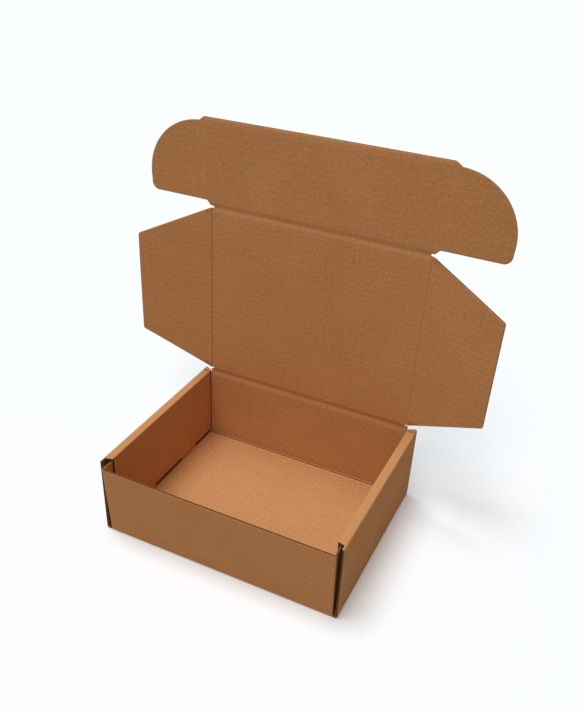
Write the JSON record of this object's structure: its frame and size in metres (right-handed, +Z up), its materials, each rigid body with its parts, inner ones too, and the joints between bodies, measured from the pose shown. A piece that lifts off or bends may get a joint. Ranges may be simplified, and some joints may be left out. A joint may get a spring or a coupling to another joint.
{
  "type": "corrugated mailer box",
  "caption": "Open corrugated mailer box folded from one sheet: rolled side walls, hinged lid with dust flaps, and a tuck flap with rounded lock ears.",
  "frame": {"origin": "on the table, under the middle of the tray: half way along its depth and its width", "axes": "+X to the right, +Y from the front wall to the lid's crease, +Z up"},
  "size_m": [0.402, 0.2104, 0.3768],
  "materials": {
    "tray": "matt kraft liner",
    "front_wall": "matt kraft liner",
    "lid": "matt kraft liner",
    "tuck_flap": "matt kraft liner",
    "left_lock_ear": "matt kraft liner",
    "right_lock_ear": "matt kraft liner",
    "left_dust_crease": "matt kraft liner",
    "left_dust_flap": "matt kraft liner",
    "right_dust_crease": "matt kraft liner",
    "right_dust_flap": "matt kraft liner"
  },
  "bodies": {
    "tray": {"tray": "tray"},
    "front_wall": {"front_wall": "front_wall"},
    "lid": {"lid": "lid"},
    "tuck_flap": {"tuck_flap": "tuck_flap"},
    "left_lock_ear": {"left_lock_ear": "left_lock_ear"},
    "right_lock_ear": {"right_lock_ear": "right_lock_ear"},
    "left_dust_crease": {"left_dust_crease": "left_dust_crease"},
    "left_dust_flap": {"left_dust_flap": "left_dust_flap"},
    "right_dust_crease": {"right_dust_crease": "right_dust_crease"},
    "right_dust_flap": {"right_dust_flap": "right_dust_flap"}
  },
  "joints": [
    {"name": "lid_hinge", "type": "hinge", "parent": "tray", "child": "lid", "pos_m": [0, 0.09925, 0.0914], "axis": [1, 0, 0], "range_deg": [-105, 90.8]},
    {"name": "tuck_hinge", "type": "hinge", "parent": "lid", "child": "tuck_flap", "pos_m": [0, 0.102, 0.28798], "axis": [1, 0, 0], "range_deg": [-30, 84.55]},
    {"name": "left_ear_hinge", "type": "hinge", "parent": "tuck_flap", "child": "left_lock_ear", "pos_m": [-0.128, 0.102, 0.28798], "axis": [0, -0.0052, 1], "range_deg": [-30, 90]},
    {"name": "right_ear_hinge", "type": "hinge", "parent": "tuck_flap", "child": "right_lock_ear", "pos_m": [0.128, 0.102, 0.28798], "axis": [0, 0.0052, -1], "range_deg": [-30, 90]},
    {"name": "left_dust_rest", "type": "hinge", "parent": "lid", "child": "left_dust_crease", "pos_m": [-0.1175, 0.09925, 0.0914], "axis": [0, 0.014, 0.9999], "range_deg": [-10.8, 15]},
    {"name": "left_dust_hinge", "type": "hinge", "parent": "left_dust_crease", "child": "left_dust_flap", "pos_m": [-0.12045, 0.09869, 0.09141], "axis": [0, 0.014, 0.9999], "range_deg": [-30, 90]},
    {"name": "right_dust_rest", "type": "hinge", "parent": "lid", "child": "right_dust_crease", "pos_m": [0.1175, 0.09925, 0.0914], "axis": [0, -0.014, -0.9999], "range_deg": [-14.1, 18]},
    {"name": "right_dust_hinge", "type": "hinge", "parent": "right_dust_crease", "child": "right_dust_flap", "pos_m": [0.12041, 0.09852, 0.09141], "axis": [0, -0.014, -0.9999], "range_deg": [-30, 90]},
    {"name": "front_wall_hinge", "type": "hinge", "parent": "tray", "child": "front_wall", "pos_m": [0, -0.10165, 0.00025], "axis": [-1, 0, 0], "range_deg": [0, 8.65]}
  ],
  "couplings": [
    {"joint": "left_dust_rest", "follows": "lid_hinge", "ratio": -0.11894},
    {"joint": "right_dust_rest", "follows": "lid_hinge", "ratio": -0.15529}
  ]
}
